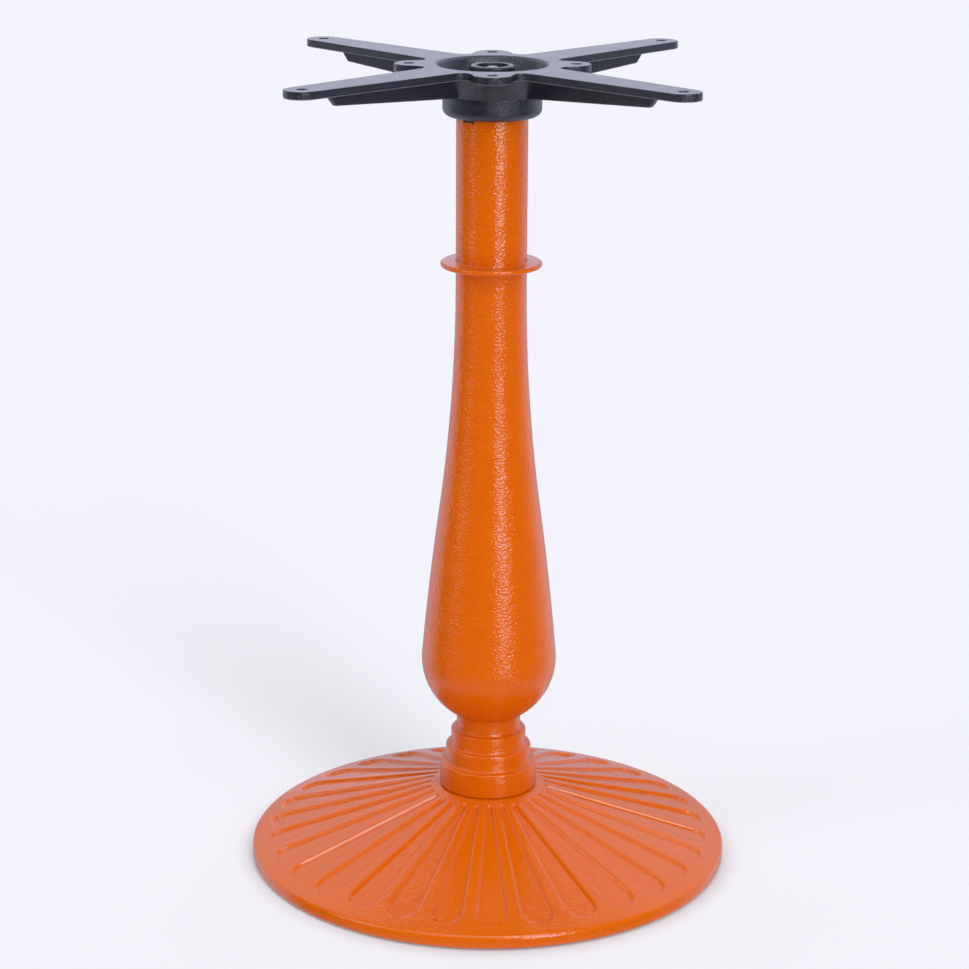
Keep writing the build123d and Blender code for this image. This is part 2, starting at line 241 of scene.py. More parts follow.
# %% Paint the studio on the sky
LAMP_TINT, BACKDROP_TINT = "#F2F3FF", "#E3E8FF"
GLOW, ALL_ROUND = 0.02, (-3, -2)
RIGHT_BOX, RIGHT_WINDOW = 6.9, (27, 9, -6, 70)
LEFT_BOX, LEFT_WINDOW = 2.1, (-66, 10, 0, 50)
TOP_BOX, TOP_EDGE = 3.05, (0.94, 0.97)
FRONT_BANK, FRONT_WINDOW = 0.95, (-10, 70, 34, 74, 6)
STRIP, STRIP_WINDOW = 0.68, (182, 8, 1, 17, 3)
NEAR_FLOOR, NEAR_FLOOR_EDGE = 0.85, (-0.42, -0.58)
BACKDROP, BACKDROP_FOOT, BACKDROP_HEAD = 1.1, (-0.7, -0.3), (0.92, 0.74)
LEFT_SIDE, RIGHT_SIDE, MIDDLE = (0.20, 0.34), (-0.25, 0.75), 0.05
BACKDROP_DIM, DIM_BEHIND, DIM_BELOW = 0.44, (0.72, 0.95), (0.50, 0.10)

lamps = [lit(GLOW, [(upward, *ALL_ROUND)]), lit(RIGHT_BOX, window(*RIGHT_WINDOW)),
         lit(LEFT_BOX, window(*LEFT_WINDOW)), lit(TOP_BOX, [(upward, *TOP_EDGE)]),
         lit(FRONT_BANK, window(*FRONT_WINDOW))]
backdrop = [lit(STRIP, window(*STRIP_WINDOW)), lit(NEAR_FLOOR, [(upward, *NEAR_FLOOR_EDGE)])]
dim = [(backward, *DIM_BEHIND), (upward, *DIM_BELOW)]
for reach, middle in ((LEFT_SIDE, MIDDLE), (RIGHT_SIDE, -MIDDLE)):
    side = [(backward, *reach), (rightward, middle, -middle),
            (upward, *BACKDROP_FOOT), (upward, *BACKDROP_HEAD)]
    backdrop += [lit(BACKDROP, side), lit(-BACKDROP * BACKDROP_DIM, side + dim)]
shaders = []
for tint, lights in ((LAMP_TINT, lamps), (BACKDROP_TINT, backdrop)):
    total = lights[0]
    for light in lights[1:]:
        total = add_node(sky, "ShaderNodeMath", {"operation": "ADD"},
                         links={0: total, 1: light}).outputs[0]
    shaders.append(add_node(sky, "ShaderNodeBackground", inputs={"Color": linear(tint)},
                            links={"Strength": total}))
studio = add_node(sky, "ShaderNodeAddShader",
                  links={i: shader.outputs["Background"] for i, shader in enumerate(shaders)})
add_node(sky, "ShaderNodeOutputWorld", links={"Surface": studio.outputs["Shader"]})
bpy.context.scene.world = world
bpy.context.scene.view_settings.view_transform = "Standard"
print("sky:", len(lamps), "lamps,", len(backdrop), "lights of the backdrop,", len(sky.nodes),
      "nodes")

# %% [markdown]
# ## Orange powder coat on sand-cast iron
#
# Iron poured into a sand mould keeps the sand's skin. A thick glossy powder coat melts over it
# and sags into shallow ripples under three millimetres wide and less than two tall, so every
# highlight breaks into small curved flecks. The colour itself hardly changes. The ripples are
# noise, squeezed along the height of the object, over slower waves of the casting. They are
# shallower on the base. Both go into bump nodes, and the clear gloss comes from the shader's own
# reflection, tinted because the photograph keeps its highlights from going red. Just below the
# spider the coat is chipped, as it is on the real column, and dark iron shows.

# %% Make the orange finish
ORANGE = "#DF6500"
ORANGE_DEEP = "#D85D00"
GLOSS = "#B8FFF8"
BARE_IRON = "#2A1A14"
CAST_WAVE, ORANGE_WAVE_HEIGHT = 11.0, 0.45
RIPPLE, RIPPLE_HEIGHT, RIPPLE_SQUEEZE = 2.6, 0.5, 1.6
CALM_BELOW, LIVELY_ABOVE, CALM_SHARE = 60.0, 75.0, 0.45
CHIP, CHIP_SHARE = 4.0, 0.62
CHIP_LOW, CHIP_HIGH = 666.0, 676.0
SPARED_RIGHT, SPARED_LEFT, SPARED_SHARE = -8.0, -18.0, 0.30

orange_coat, tree = new_material("orange_powder_coat_on_cast_iron")
place = add_node(tree, "ShaderNodeTexCoord").outputs["Object"]
squeezed = add_node(tree, "ShaderNodeMapping", inputs={"Scale": (1, 1, RIPPLE_SQUEEZE)},
                    links={"Vector": place})
wave = add_node(tree, "ShaderNodeTexNoise", inputs={"Scale": per_mm(CAST_WAVE), "Detail": 2.0},
                links={"Vector": place})
ripple = add_node(tree, "ShaderNodeTexNoise",
                  inputs={"Scale": per_mm(RIPPLE), "Detail": 0.6, "Distortion": 0.4},
                  links={"Vector": squeezed.outputs["Vector"]})
waved = add_node(tree, "ShaderNodeBump",
                 inputs={"Strength": 1.0, "Distance": ORANGE_WAVE_HEIGHT * MM},
                 links={"Height": wave.outputs["Fac"]})
split = add_node(tree, "ShaderNodeSeparateXYZ", links={"Vector": place})
sag = add_node(tree, "ShaderNodeMapRange",
               inputs={"From Min": CALM_BELOW * MM, "From Max": LIVELY_ABOVE * MM,
                       "To Min": CALM_SHARE}, links={"Value": split.outputs["Z"]})
rippled = add_node(tree, "ShaderNodeBump", inputs={"Distance": RIPPLE_HEIGHT * MM},
                   links={"Strength": sag.outputs["Result"], "Height": ripple.outputs["Fac"],
                          "Normal": waved.outputs["Normal"]})
tone = add_node(tree, "ShaderNodeMix", {"data_type": "RGBA"},
                {6: linear(ORANGE_DEEP), 7: linear(ORANGE)}, {"Factor": wave.outputs["Fac"]})
high = add_node(tree, "ShaderNodeMapRange", SOFT_RAMP,
                {"From Min": CHIP_LOW * MM, "From Max": CHIP_HIGH * MM, "To Max": CHIP_SHARE},
                {"Value": split.outputs["Z"]})
leftward = add_node(tree, "ShaderNodeMapRange", SOFT_RAMP,
                    {"From Min": SPARED_RIGHT * MM, "From Max": SPARED_LEFT * MM,
                     "To Min": SPARED_SHARE, "To Max": 0.0}, {"Value": split.outputs["X"]})
speck = add_node(tree, "ShaderNodeTexNoise", inputs={"Scale": per_mm(CHIP), "Detail": 3.0},
                 links={"Vector": place})
level = add_node(tree, "ShaderNodeMath", {"operation": "SUBTRACT"},
                 links={0: high.outputs["Result"], 1: leftward.outputs["Result"]})
chipped = add_node(tree, "ShaderNodeMath", {"operation": "GREATER_THAN"},
                   links={0: level.outputs[0], 1: speck.outputs["Fac"]})
colour = add_node(tree, "ShaderNodeMix", {"data_type": "RGBA"}, {7: linear(BARE_IRON)},
                  {"Factor": chipped.outputs[0], 6: tone.outputs[2]})
surface = add_node(tree, "ShaderNodeBsdfPrincipled",
                   inputs={"Roughness": 0.13, "IOR": 1.5, "Specular Tint": linear(GLOSS)},
                   links={"Base Color": colour.outputs[2], "Normal": rippled.outputs["Normal"]})
add_node(tree, "ShaderNodeOutputMaterial", links={"Surface": surface.outputs["BSDF"]})
print("material:", orange_coat.name)

# %% [markdown]
# ## Satin black coat
#
# The spider is the same rough casting under a thinner, satin black coat with a fine pebbled
# texture. Black paint shows almost nothing of its own colour. What the eye reads is the bright
# studio mirrored on the flat top faces and broken by the pebbles, which are lower there. The
# bosses under the lugs are dull. A paler line is painted along the plate's lower edge, a painted
# highlight where that edge mirrors the pale floor. Folding the coordinates to one eighth of the
# star lets one distance find all four bosses.

# %% Make the black finish
BLACK = "#21232D"
BARE_BOSS = "#25252B"
# Colour of the painted highlight along the plate's lower edge
PAINTED_EDGE_HIGHLIGHT = "#5E5A58"
BLACK_WAVE_HEIGHT = 0.2
PEBBLE, PEBBLE_HEIGHT = 1.2, 0.6
FINE_PEBBLE, FINE_PEBBLE_HEIGHT = 0.6, 0.05
TOP_FLAT, TOP_BLEND, TOP_SHARE = 719.0, 0.4, 0.22
LUG_AXIS, BOSS_CLEAR, BOSS_SIDE = 71.0, 12.5, 10.5
BOSS_ROOT, BOSS_BELOW = 713.0, 711.0
# Heights in mm between which the plate's lower edge gets the painted highlight
HIGHLIGHT_LINE_LOW, HIGHLIGHT_LINE_HIGH = 713.4, 714.1
BOWL_REACH = 50.0
SATIN_LEAST, SATIN_MOST, BOSS_ROUGHNESS = 0.18, 0.26, 0.75

black_coat, tree = new_material("satin_black_coat_on_cast_iron")
place = add_node(tree, "ShaderNodeTexCoord").outputs["Object"]
wave, pebble, fine = [
    add_node(tree, "ShaderNodeTexNoise",
             inputs={"Scale": per_mm(size), "Detail": detail, "Distortion": swirl},
             links={"Vector": place})
    for size, detail, swirl in ((CAST_WAVE, 2.0, 0.0), (PEBBLE, 1.0, 0.5), (FINE_PEBBLE, 1.0, 0.0))]
waved = add_node(tree, "ShaderNodeBump",
                 inputs={"Strength": 1.0, "Distance": BLACK_WAVE_HEIGHT * MM},
                 links={"Height": wave.outputs["Fac"]})
split = add_node(tree, "ShaderNodeSeparateXYZ", links={"Vector": place})
poured = add_node(tree, "ShaderNodeMapRange",
                  inputs={"From Min": (TOP_FLAT - TOP_BLEND) * MM,
                          "From Max": (TOP_FLAT + TOP_BLEND) * MM,
                          "To Min": 1.0, "To Max": TOP_SHARE}, links={"Value": split.outputs["Z"]})
pebbled = add_node(tree, "ShaderNodeBump", inputs={"Distance": PEBBLE_HEIGHT * MM},
                   links={"Strength": poured.outputs["Result"], "Height": pebble.outputs["Fac"],
                          "Normal": waved.outputs["Normal"]})
fined = add_node(tree, "ShaderNodeBump",
                 inputs={"Strength": 1.0, "Distance": FINE_PEBBLE_HEIGHT * MM},
                 links={"Height": fine.outputs["Fac"], "Normal": pebbled.outputs["Normal"]})
folded = add_node(tree, "ShaderNodeVectorMath", {"operation": "ABSOLUTE"}, links={0: place})
fold = add_node(tree, "ShaderNodeSeparateXYZ", links={"Vector": folded.outputs["Vector"]})
outer, inner = [add_node(tree, "ShaderNodeMath", {"operation": pick},
                         links={0: fold.outputs["X"], 1: fold.outputs["Y"]})
                for pick in ("MAXIMUM", "MINIMUM")]
spot = add_node(tree, "ShaderNodeCombineXYZ", links={"X": outer.outputs[0], "Y": inner.outputs[0]})
from_lug = add_node(tree, "ShaderNodeVectorMath", {"operation": "DISTANCE"},
                    {1: (LUG_AXIS * MM, 0, 0)}, {0: spot.outputs["Vector"]})
beside = add_node(tree, "ShaderNodeMapRange",
                  inputs={"From Min": BOSS_CLEAR * MM, "From Max": BOSS_SIDE * MM},
                  links={"Value": from_lug.outputs["Value"]})
beneath = add_node(tree, "ShaderNodeMapRange",
                   inputs={"From Min": BOSS_ROOT * MM, "From Max": BOSS_BELOW * MM},
                   links={"Value": split.outputs["Z"]})
bare = add_node(tree, "ShaderNodeMath", {"operation": "MULTIPLY"},
                links={0: beside.outputs["Result"], 1: beneath.outputs["Result"]})
# Painted highlight: a paler line on the plate's lower edge, away from the bowl, standing in for the
# edge's mirror image of the pale floor
painted_highlight = None
for value, test, limit in ((split.outputs["Z"], "GREATER_THAN", HIGHLIGHT_LINE_LOW),
                           (split.outputs["Z"], "LESS_THAN", HIGHLIGHT_LINE_HIGH),
                           (outer.outputs[0], "GREATER_THAN", BOWL_REACH)):
    passed = add_node(tree, "ShaderNodeMath", {"operation": test}, {1: limit * MM}, {0: value})
    painted_highlight = passed if painted_highlight is None else add_node(tree, "ShaderNodeMath", {"operation": "MULTIPLY"},
                                                links={0: painted_highlight.outputs[0], 1: passed.outputs[0]})
tone = add_node(tree, "ShaderNodeMix", {"data_type": "RGBA"},
                {6: linear(BLACK), 7: linear(BARE_BOSS)}, {"Factor": bare.outputs[0]})
colour = add_node(tree, "ShaderNodeMix", {"data_type": "RGBA"}, {7: linear(PAINTED_EDGE_HIGHLIGHT)},
                  {"Factor": painted_highlight.outputs[0], 6: tone.outputs[2]})
satin = add_node(tree, "ShaderNodeMapRange", inputs={"To Min": SATIN_LEAST, "To Max": SATIN_MOST},
                 links={"Value": wave.outputs["Fac"]})
dull = add_node(tree, "ShaderNodeMix", {"data_type": "FLOAT"}, {3: BOSS_ROUGHNESS},
                {"Factor": bare.outputs[0], 2: satin.outputs["Result"]})
surface = add_node(tree, "ShaderNodeBsdfPrincipled", inputs={"IOR": 1.62},
                   links={"Base Color": colour.outputs[2], "Normal": fined.outputs["Normal"],
                          "Roughness": dull.outputs[0]})
add_node(tree, "ShaderNodeOutputMaterial", links={"Surface": surface.outputs["BSDF"]})
print("material:", black_coat.name)

# %% [markdown]
# ## Zinc-plated steel and nylon
#
# The tie rod, its nuts and washers and the studs of the glides are ordinary fasteners with
# a thin blue-white zinc plating, cloudy rather than mirror-bright. The pads are moulded nylon,
# which is black, a little waxy and scuffed where it meets the floor.

# %% Make the zinc and the nylon
ZINC = "#B9BDC2"
ZINC_DULL = "#8F9499"
ZINC_CLOUD = 3.0
NYLON = "#141416"
NYLON_SCUFF = "#2B2B2E"
SCUFF, SCUFF_HEIGHT = 1.6, 0.05

zinc, tree = new_material("zinc_plated_steel")
place = add_node(tree, "ShaderNodeTexCoord").outputs["Object"]
cloud = add_node(tree, "ShaderNodeTexNoise", inputs={"Scale": per_mm(ZINC_CLOUD), "Detail": 4.0},
                 links={"Vector": place})
tone = add_node(tree, "ShaderNodeMix", {"data_type": "RGBA"},
                {6: linear(ZINC_DULL), 7: linear(ZINC)}, {"Factor": cloud.outputs["Fac"]})
dull = add_node(tree, "ShaderNodeMapRange", inputs={"To Min": 0.5, "To Max": 0.3},
                links={"Value": cloud.outputs["Fac"]})
surface = add_node(tree, "ShaderNodeBsdfPrincipled", inputs={"Metallic": 1.0},
                   links={"Base Color": tone.outputs[2], "Roughness": dull.outputs["Result"]})
add_node(tree, "ShaderNodeOutputMaterial", links={"Surface": surface.outputs["BSDF"]})

nylon, tree = new_material("moulded_black_nylon")
place = add_node(tree, "ShaderNodeTexCoord").outputs["Object"]
scuff = add_node(tree, "ShaderNodeTexNoise",
                 inputs={"Scale": per_mm(SCUFF), "Detail": 5.0, "Roughness": 0.7},
                 links={"Vector": place})
tone = add_node(tree, "ShaderNodeMix", {"data_type": "RGBA"},
                {6: linear(NYLON), 7: linear(NYLON_SCUFF)}, {"Factor": scuff.outputs["Fac"]})
grained = add_node(tree, "ShaderNodeBump", inputs={"Strength": 0.5, "Distance": SCUFF_HEIGHT * MM},
                   links={"Height": scuff.outputs["Fac"]})
surface = add_node(tree, "ShaderNodeBsdfPrincipled", inputs={"Roughness": 0.45, "IOR": 1.53},
                   links={"Base Color": tone.outputs[2], "Normal": grained.outputs["Normal"]})
add_node(tree, "ShaderNodeOutputMaterial", links={"Surface": surface.outputs["BSDF"]})
print("materials:", zinc.name, nylon.name)

# %% [markdown]
# ## Shaping by hand: rings, rounded corners and unions
#
# Most pieces here were turned: the column, the hub, the washers. In Blender a turned piece can be
# a profile that is spun, or a ring of vertices that is extruded and scaled from station to
# station, as a potter pulls up a wall. The second keeps the rings even and needs no seam, so it is
# used below. The profiles are drawn with plain corners, and each corner carries the radius
# that the foundry's pattern maker would have given it.

# %% Helpers for rounded lines
def softened(corners, arc_steps=5):
    """Points along a path of corners (x, y, rounding), with an arc at each rounded corner."""
    points = []
    for i, (x, y, rounding) in enumerate(corners):
        if rounding == 0 or i in (0, len(corners) - 1):
            points.append((x, y))
            continue
        before = np.subtract(corners[i - 1][:2], (x, y))
        after = np.subtract(corners[i + 1][:2], (x, y))
        before = before / np.hypot(*before)
        after = after / np.hypot(*after)
        half_angle = np.arccos(np.clip(before @ after, -1, 1)) / 2
        middle = (before + after) / np.hypot(*(before + after))
        centre = np.add((x, y), middle * rounding / sin(half_angle))
        start = np.add((x, y), before * rounding / tan(half_angle)) - centre
        end = np.add((x, y), after * rounding / tan(half_angle)) - centre
        first = atan2(start[1], start[0])
        turn = (atan2(end[1], end[0]) - first + pi) % (2 * pi) - pi
        points += on_arc(centre, rounding, first, first + turn, arc_steps)
    return points


def on_arc(centre, radius, start, end, steps):
    """Points along an arc between two angles in radians."""
    angles = [start + (end - start) * i / steps for i in range(steps + 1)]
    return [(centre[0] + radius * cos(a), centre[1] + radius * sin(a)) for a in angles]


def evenly(start, end, spacing):
    """Values from start towards end, about a spacing apart, without the end."""
    count = max(1, ceil(abs(end - start) / spacing))
    return [start + (end - start) * i / count for i in range(count)]


# %% Helpers for pieces
def only(piece):
    """Makes one piece the only selected and active one."""
    bpy.ops.object.select_all(action="DESELECT")
    piece.select_set(True)
    bpy.context.view_layer.objects.active = piece


def opened(piece):
    """Opens a piece in edit mode, with everything in it selected."""
    only(piece)
    bpy.ops.object.mode_set(mode="EDIT")
    bpy.ops.mesh.select_all(action="SELECT")


MERGE = 0.004


def tidied(piece):
    """Merges the doubles of a piece and turns its faces outwards."""
    opened(piece)
    bpy.ops.mesh.remove_doubles(threshold=MERGE * MM)
    bpy.ops.mesh.normals_make_consistent(inside=False)
    bpy.ops.object.mode_set(mode="OBJECT")
    return piece


def turned(name, stations, segments, ring=True):
    """A turned piece: a ring of vertices extruded along stations, then joined up or capped."""
    bpy.ops.object.select_all(action="DESELECT")
    radius, height = stations[0]
    bpy.ops.mesh.primitive_circle_add(vertices=segments, radius=radius * MM,
                                      location=(0, 0, height * MM))
    piece = bpy.context.object
    piece.name = name
    bpy.ops.object.transform_apply()
    opened(piece)
    for (radius, height), (next_radius, next_height) in zip(stations, stations[1:]):
        rise = (next_height - height) * MM
        bpy.ops.mesh.extrude_edges_move(TRANSFORM_OT_translate={"value": (0, 0, rise)})
        scale = next_radius / radius
        bpy.ops.transform.resize(value=(scale, scale, 1), center_override=(0, 0, next_height * MM))
    bpy.ops.mesh.select_all(action="DESELECT")
    bpy.ops.mesh.select_non_manifold()
    if ring:
        bpy.ops.mesh.bridge_edge_loops()
    else:
        bpy.ops.mesh.fill_holes(sides=0)
    bpy.ops.object.mode_set(mode="OBJECT")
    return tidied(piece)


def moved(piece, offset, turn=0.0):
    """Moves a piece by millimetres and turns it about the upright axis, all in its mesh."""
    only(piece)
    shift = Matrix.Translation([c * MM for c in offset])
    piece.matrix_world = Matrix.Rotation(turn, 4, "Z") @ shift
    bpy.ops.object.transform_apply()
    return piece


def repeated(piece, count, start):
    """Turns a piece by a start angle and spins copies evenly round the axis, as one mesh."""
    opened(moved(piece, (0, 0, 0), start))
    sweep = 2 * pi * (count - 1) / count
    bpy.ops.mesh.spin(steps=count - 1, dupli=True, angle=sweep, center=(0, 0, 0), axis=(0, 0, 1))
    bpy.ops.object.mode_set(mode="OBJECT")
    return tidied(piece)


def combined(piece, tool, operation):
    """Joins a tool to a piece, cuts it away or keeps what they share, and removes the tool."""
    only(piece)
    modifier = piece.modifiers.new("combine", "BOOLEAN")
    modifier.operation = operation
    modifier.solver = "EXACT"
    modifier.object = tool
    bpy.ops.object.modifier_apply(modifier=modifier.name)
    bpy.data.objects.remove(tool)
    return piece


def shaped_grid(name, places):
    """A grid of vertices laid at an array of places in millimetres, rows by columns by xyz."""
    rows, columns = places.shape[:2]
    bpy.ops.object.select_all(action="DESELECT")
    bpy.ops.mesh.primitive_grid_add(x_subdivisions=columns - 1, y_subdivisions=rows - 1, size=1)
    piece = bpy.context.object
    piece.name = name
    piece.data.vertices.foreach_set("co", (places * MM).ravel())
    piece.data.update()
    return piece


def raised(piece, offset):
    """Extrudes a flat piece by millimetres into a solid."""
    opened(piece)
    bpy.ops.mesh.extrude_region_move(TRANSFORM_OT_translate={"value": [c * MM for c in offset]})
    bpy.ops.object.mode_set(mode="OBJECT")
    return tidied(piece)


def edges_softened(piece, width, limit=30):
    """Bevels the edges of a piece that turn by more than a limit in degrees."""
    only(piece)
    softness = piece.modifiers.new("soft_edges", "BEVEL")
    softness.width = width * MM
    softness.segments = 3
    softness.limit_method = "ANGLE"
    softness.angle_limit = radians(limit)
    bpy.ops.object.modifier_apply(modifier=softness.name)
    return piece


BODY_OF = {node: body for body, nodes in frame["record"]["behaviour"]["bodies"].items()
           for node in nodes}


def dressed(piece, finish, node, smooth_angle=40):
    """Finishes a piece: its material, shading, body, slot and the CAD node that it stands for."""
    only(piece)
    piece.data.materials.clear()
    piece.data.materials.append(finish)
    bpy.ops.object.shade_smooth_by_angle(angle=radians(smooth_angle))
    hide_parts(node)
    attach(piece, BODY_OF[node])
    print(piece.name, "stands for", node, "on", BODY_OF[node], "with", len(piece.data.polygons),
          "faces")
    return piece


# %% [markdown]
# ## The column
#
# The real column is one hollow iron casting, turned smooth on its pattern: three steps with soft
# hollows between them, a short neck, a ball-shaped bulb that runs up into a long slow belly and
# narrows into the plain shaft, with a thin ring where the shaft begins. Its line is the whole charm
# of the piece, so it is drawn with the same touching arcs as the CAD model: ball, belly and flare.

# %% Draw the column's line
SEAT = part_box("column")[0].z / MM
COLUMN_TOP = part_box("column")[1].z / MM
STEPS = [(43.9, 23.0), (38.4, 15.6), (33.7, 15.4)]
STEP_ROUND = 1.9
STEP_HOLLOW = 2.6
FOOT_EDGE = 0.9
GAP_DEPTH, GAP_HEIGHT = 2.2, 1.0
NECK_RADIUS = 28.8
NECK_HOLLOW = 2.0
BULB_RADIUS = 60.4
BULB_Z = SEAT + 121.5
SHOULDER_LEAN = radians(5.0)
BELLY_RADIUS = 2650.0
SHAFT_RADIUS = 30.8
SHAFT_START = SEAT + 467.0
RING_RADIUS = 44.0
RING_THICKNESS = 4.5
RING_Z = SEAT + 482.5
RING_ROUND = 1.9
RING_HOLLOW = 1.2
COLUMN_WALL = 7.5
SPIGOT_RADIUS = 32.0
SPIGOT_HEIGHT = 6.0
TOP_END_EDGE = 0.8
FIT = 0.25
OUTSIDE_STEPS, INSIDE_STEPS = 10, 4


def baluster(inset, steps):
    """Stations of ball, belly and flare from the neck up to the shaft, moved in by an inset."""
    away = BULB_RADIUS - BELLY_RADIUS
    belly = (cos(SHOULDER_LEAN) * away, BULB_Z + sin(SHOULDER_LEAN) * away)
    lean = 2 * atan2(belly[0] + BELLY_RADIUS - SHAFT_RADIUS, SHAFT_START - belly[1])
    flare_radius = (SHAFT_START - belly[1]) / sin(lean) - BELLY_RADIUS
    apart = BELLY_RADIUS + flare_radius
    flare = (belly[0] + apart * cos(lean), belly[1] + apart * sin(lean))
    ball, neck = BULB_RADIUS - inset, NECK_RADIUS - inset
    neck_angle = -atan2(sqrt(ball ** 2 - neck ** 2), neck)
    return (on_arc((0, BULB_Z), ball, neck_angle, SHOULDER_LEAN, 3 * steps)
            + on_arc(belly, BELLY_RADIUS - inset, SHOULDER_LEAN, lean, 2 * steps)[1:]
            + on_arc(flare, flare_radius + inset, pi + lean, pi, 2 * steps)[1:])


bulb_line = baluster(0, OUTSIDE_STEPS)
foot_radius = STEPS[0][0]
corners = [(SPIGOT_RADIUS + FIT, SEAT, 0), (foot_radius - GAP_DEPTH, SEAT, 0),
           (foot_radius - GAP_DEPTH, SEAT + GAP_HEIGHT, 0),
           (foot_radius, SEAT + GAP_HEIGHT, FOOT_EDGE)]
height = SEAT
for (radius, rise), inner in zip(STEPS, [STEPS[1][0], STEPS[2][0], NECK_RADIUS]):
    height += rise
    corners += [(radius, height, STEP_ROUND), (inner, height, STEP_HOLLOW)]
corners += [(*bulb_line[0], NECK_HOLLOW)] + [(r, z, 0) for r, z in bulb_line[2:]]
low, high = RING_Z - RING_THICKNESS / 2, RING_Z + RING_THICKNESS / 2
corners += [(SHAFT_RADIUS, low, RING_HOLLOW), (RING_RADIUS, low, RING_ROUND),
            (RING_RADIUS, high, RING_ROUND), (SHAFT_RADIUS, high, RING_HOLLOW),
            (SHAFT_RADIUS, COLUMN_TOP, TOP_END_EDGE), (SHAFT_RADIUS - COLUMN_WALL, COLUMN_TOP, 0)]
corners += [(r, z, 0) for r, z in reversed(baluster(COLUMN_WALL, INSIDE_STEPS))]
recess_top = SEAT + SPIGOT_HEIGHT + FIT
corners += [(NECK_RADIUS - COLUMN_WALL, recess_top, 0), (SPIGOT_RADIUS + FIT, recess_top, 0)]
column_line = softened(corners)
print("column line:", len(column_line), "stations")

# %% Turn the column
COLUMN_SEGMENTS = 128

dressed(turned("baluster_column", column_line, COLUMN_SEGMENTS), orange_coat, "column")

# %% [markdown]
# ## The fluted base
#
# The base is a shallow dish of iron, hollow below, with thirty flutes pressed down its cone like
# the folds of a paper case: narrow at the column, wide and round at the rim. The flutes could be
# cut with thirty Boolean tools, but the soft lip that the sand mould leaves would be lost. So one
# slice of twelve degrees is modelled as a grid, bent to the dish's closed section, and sunk along
# the flute by a smooth depth. Spinning it thirty times and merging the seams gives the casting.

# %% Draw the dish's section
BASE_RADIUS = 215.0
FLOOR_GAP = 2.0
RIM_TOP = FLOOR_GAP + 10.5
RIM_WALL = 9.0
RIM_ROUND, RIM_FOOT_ROUND, RIM_HOLLOW = 3.4, 1.2, 3.0
SEAT_RADIUS = 45.5
SPIGOT_EDGE = 0.6
BASE_WALL = 7.5
BOSS_RADIUS, BOSS_HOLLOW, BOSS_EDGE = 40.0, 4.0, 1.5
BOSS_BOTTOM = SEAT - 20.0
ROD_HOLE = 6.75
CONE_STOPS = [(SEAT_RADIUS, 1.5), (50, 0.75), (58, 8), (183, 0.75), (202, 2), (210, 0)]

slope = atan2(SEAT - RIM_TOP, BASE_RADIUS - SEAT_RADIUS)
apex = RIM_TOP + BASE_RADIUS * tan(slope)
wall_drop = BASE_WALL / cos(slope)
inside_rim = BASE_RADIUS - RIM_WALL


def on_cone(radius):
    """Height of the dish's upper face."""
    return apex - radius * tan(slope)


cone_radii = [radius for (start, spacing), (end, _) in zip(CONE_STOPS, CONE_STOPS[1:])
              for radius in evenly(start, end, spacing)]
spigot_top = SEAT + SPIGOT_HEIGHT
top_side = softened([(ROD_HOLE, spigot_top, 0), (SPIGOT_RADIUS, spigot_top, SPIGOT_EDGE),
                     (SPIGOT_RADIUS, SEAT, 0)])
cone = [(r, on_cone(r)) for r in cone_radii]
under_side = softened([
    cone[-1] + (0,), (BASE_RADIUS, RIM_TOP, RIM_ROUND),
    (BASE_RADIUS, FLOOR_GAP, RIM_FOOT_ROUND), (inside_rim, FLOOR_GAP, RIM_FOOT_ROUND),
    (inside_rim, on_cone(inside_rim) - wall_drop, RIM_HOLLOW),
    (BOSS_RADIUS, on_cone(BOSS_RADIUS) - wall_drop, BOSS_HOLLOW),
    (BOSS_RADIUS, BOSS_BOTTOM, BOSS_EDGE), (ROD_HOLE, BOSS_BOTTOM, 0),
    (ROD_HOLE, spigot_top, 0)])[1:]
section = np.array(top_side + cone + under_side)
print("dish section:", len(section), "stations, cone at", round(degrees(slope), 1), "degrees")

# %% Sink the flute into one slice
FLUTES = 30
FLUTE_TURN = radians(1.2 - 90)
FLUTE_DEPTH = 2.2
FLUTE_INNER_TIP, FLUTE_INNER_RADIUS = 52.0, 2.4
FLUTE_OUTER_TIP, FLUTE_OUTER_RADIUS = 200.0, 13.4
FLUTE_SHARE = 0.92
LIP_OUT, LIP_IN = 0.5, 1.4
FLOOR_STEPS, LIP_STEPS = 7, 5

inner_reach = FLUTE_INNER_TIP / cos(slope) + FLUTE_INNER_RADIUS
flute_length = FLUTE_OUTER_TIP / cos(slope) - FLUTE_OUTER_RADIUS - inner_reach
spread = (FLUTE_OUTER_RADIUS - FLUTE_INNER_RADIUS) / flute_length
upright = sqrt(1 - spread ** 2)


def sunk_depth(along, across):
    """Depth of the flute under the cone: a capsule with unequal ends, with a soft lip all round."""
    across = np.abs(across)
    side = upright * along + spread * across
    distance = np.where(
        side < 0, np.hypot(across, along) - FLUTE_INNER_RADIUS,
        np.where(side > upright * flute_length,
                 np.hypot(across, along - flute_length) - FLUTE_OUTER_RADIUS,
                 upright * across - spread * along - FLUTE_INNER_RADIUS))
    share = np.clip((LIP_OUT - distance) / (LIP_OUT + LIP_IN), 0, 1)
    return FLUTE_DEPTH * share ** 2 * (3 - 2 * share)


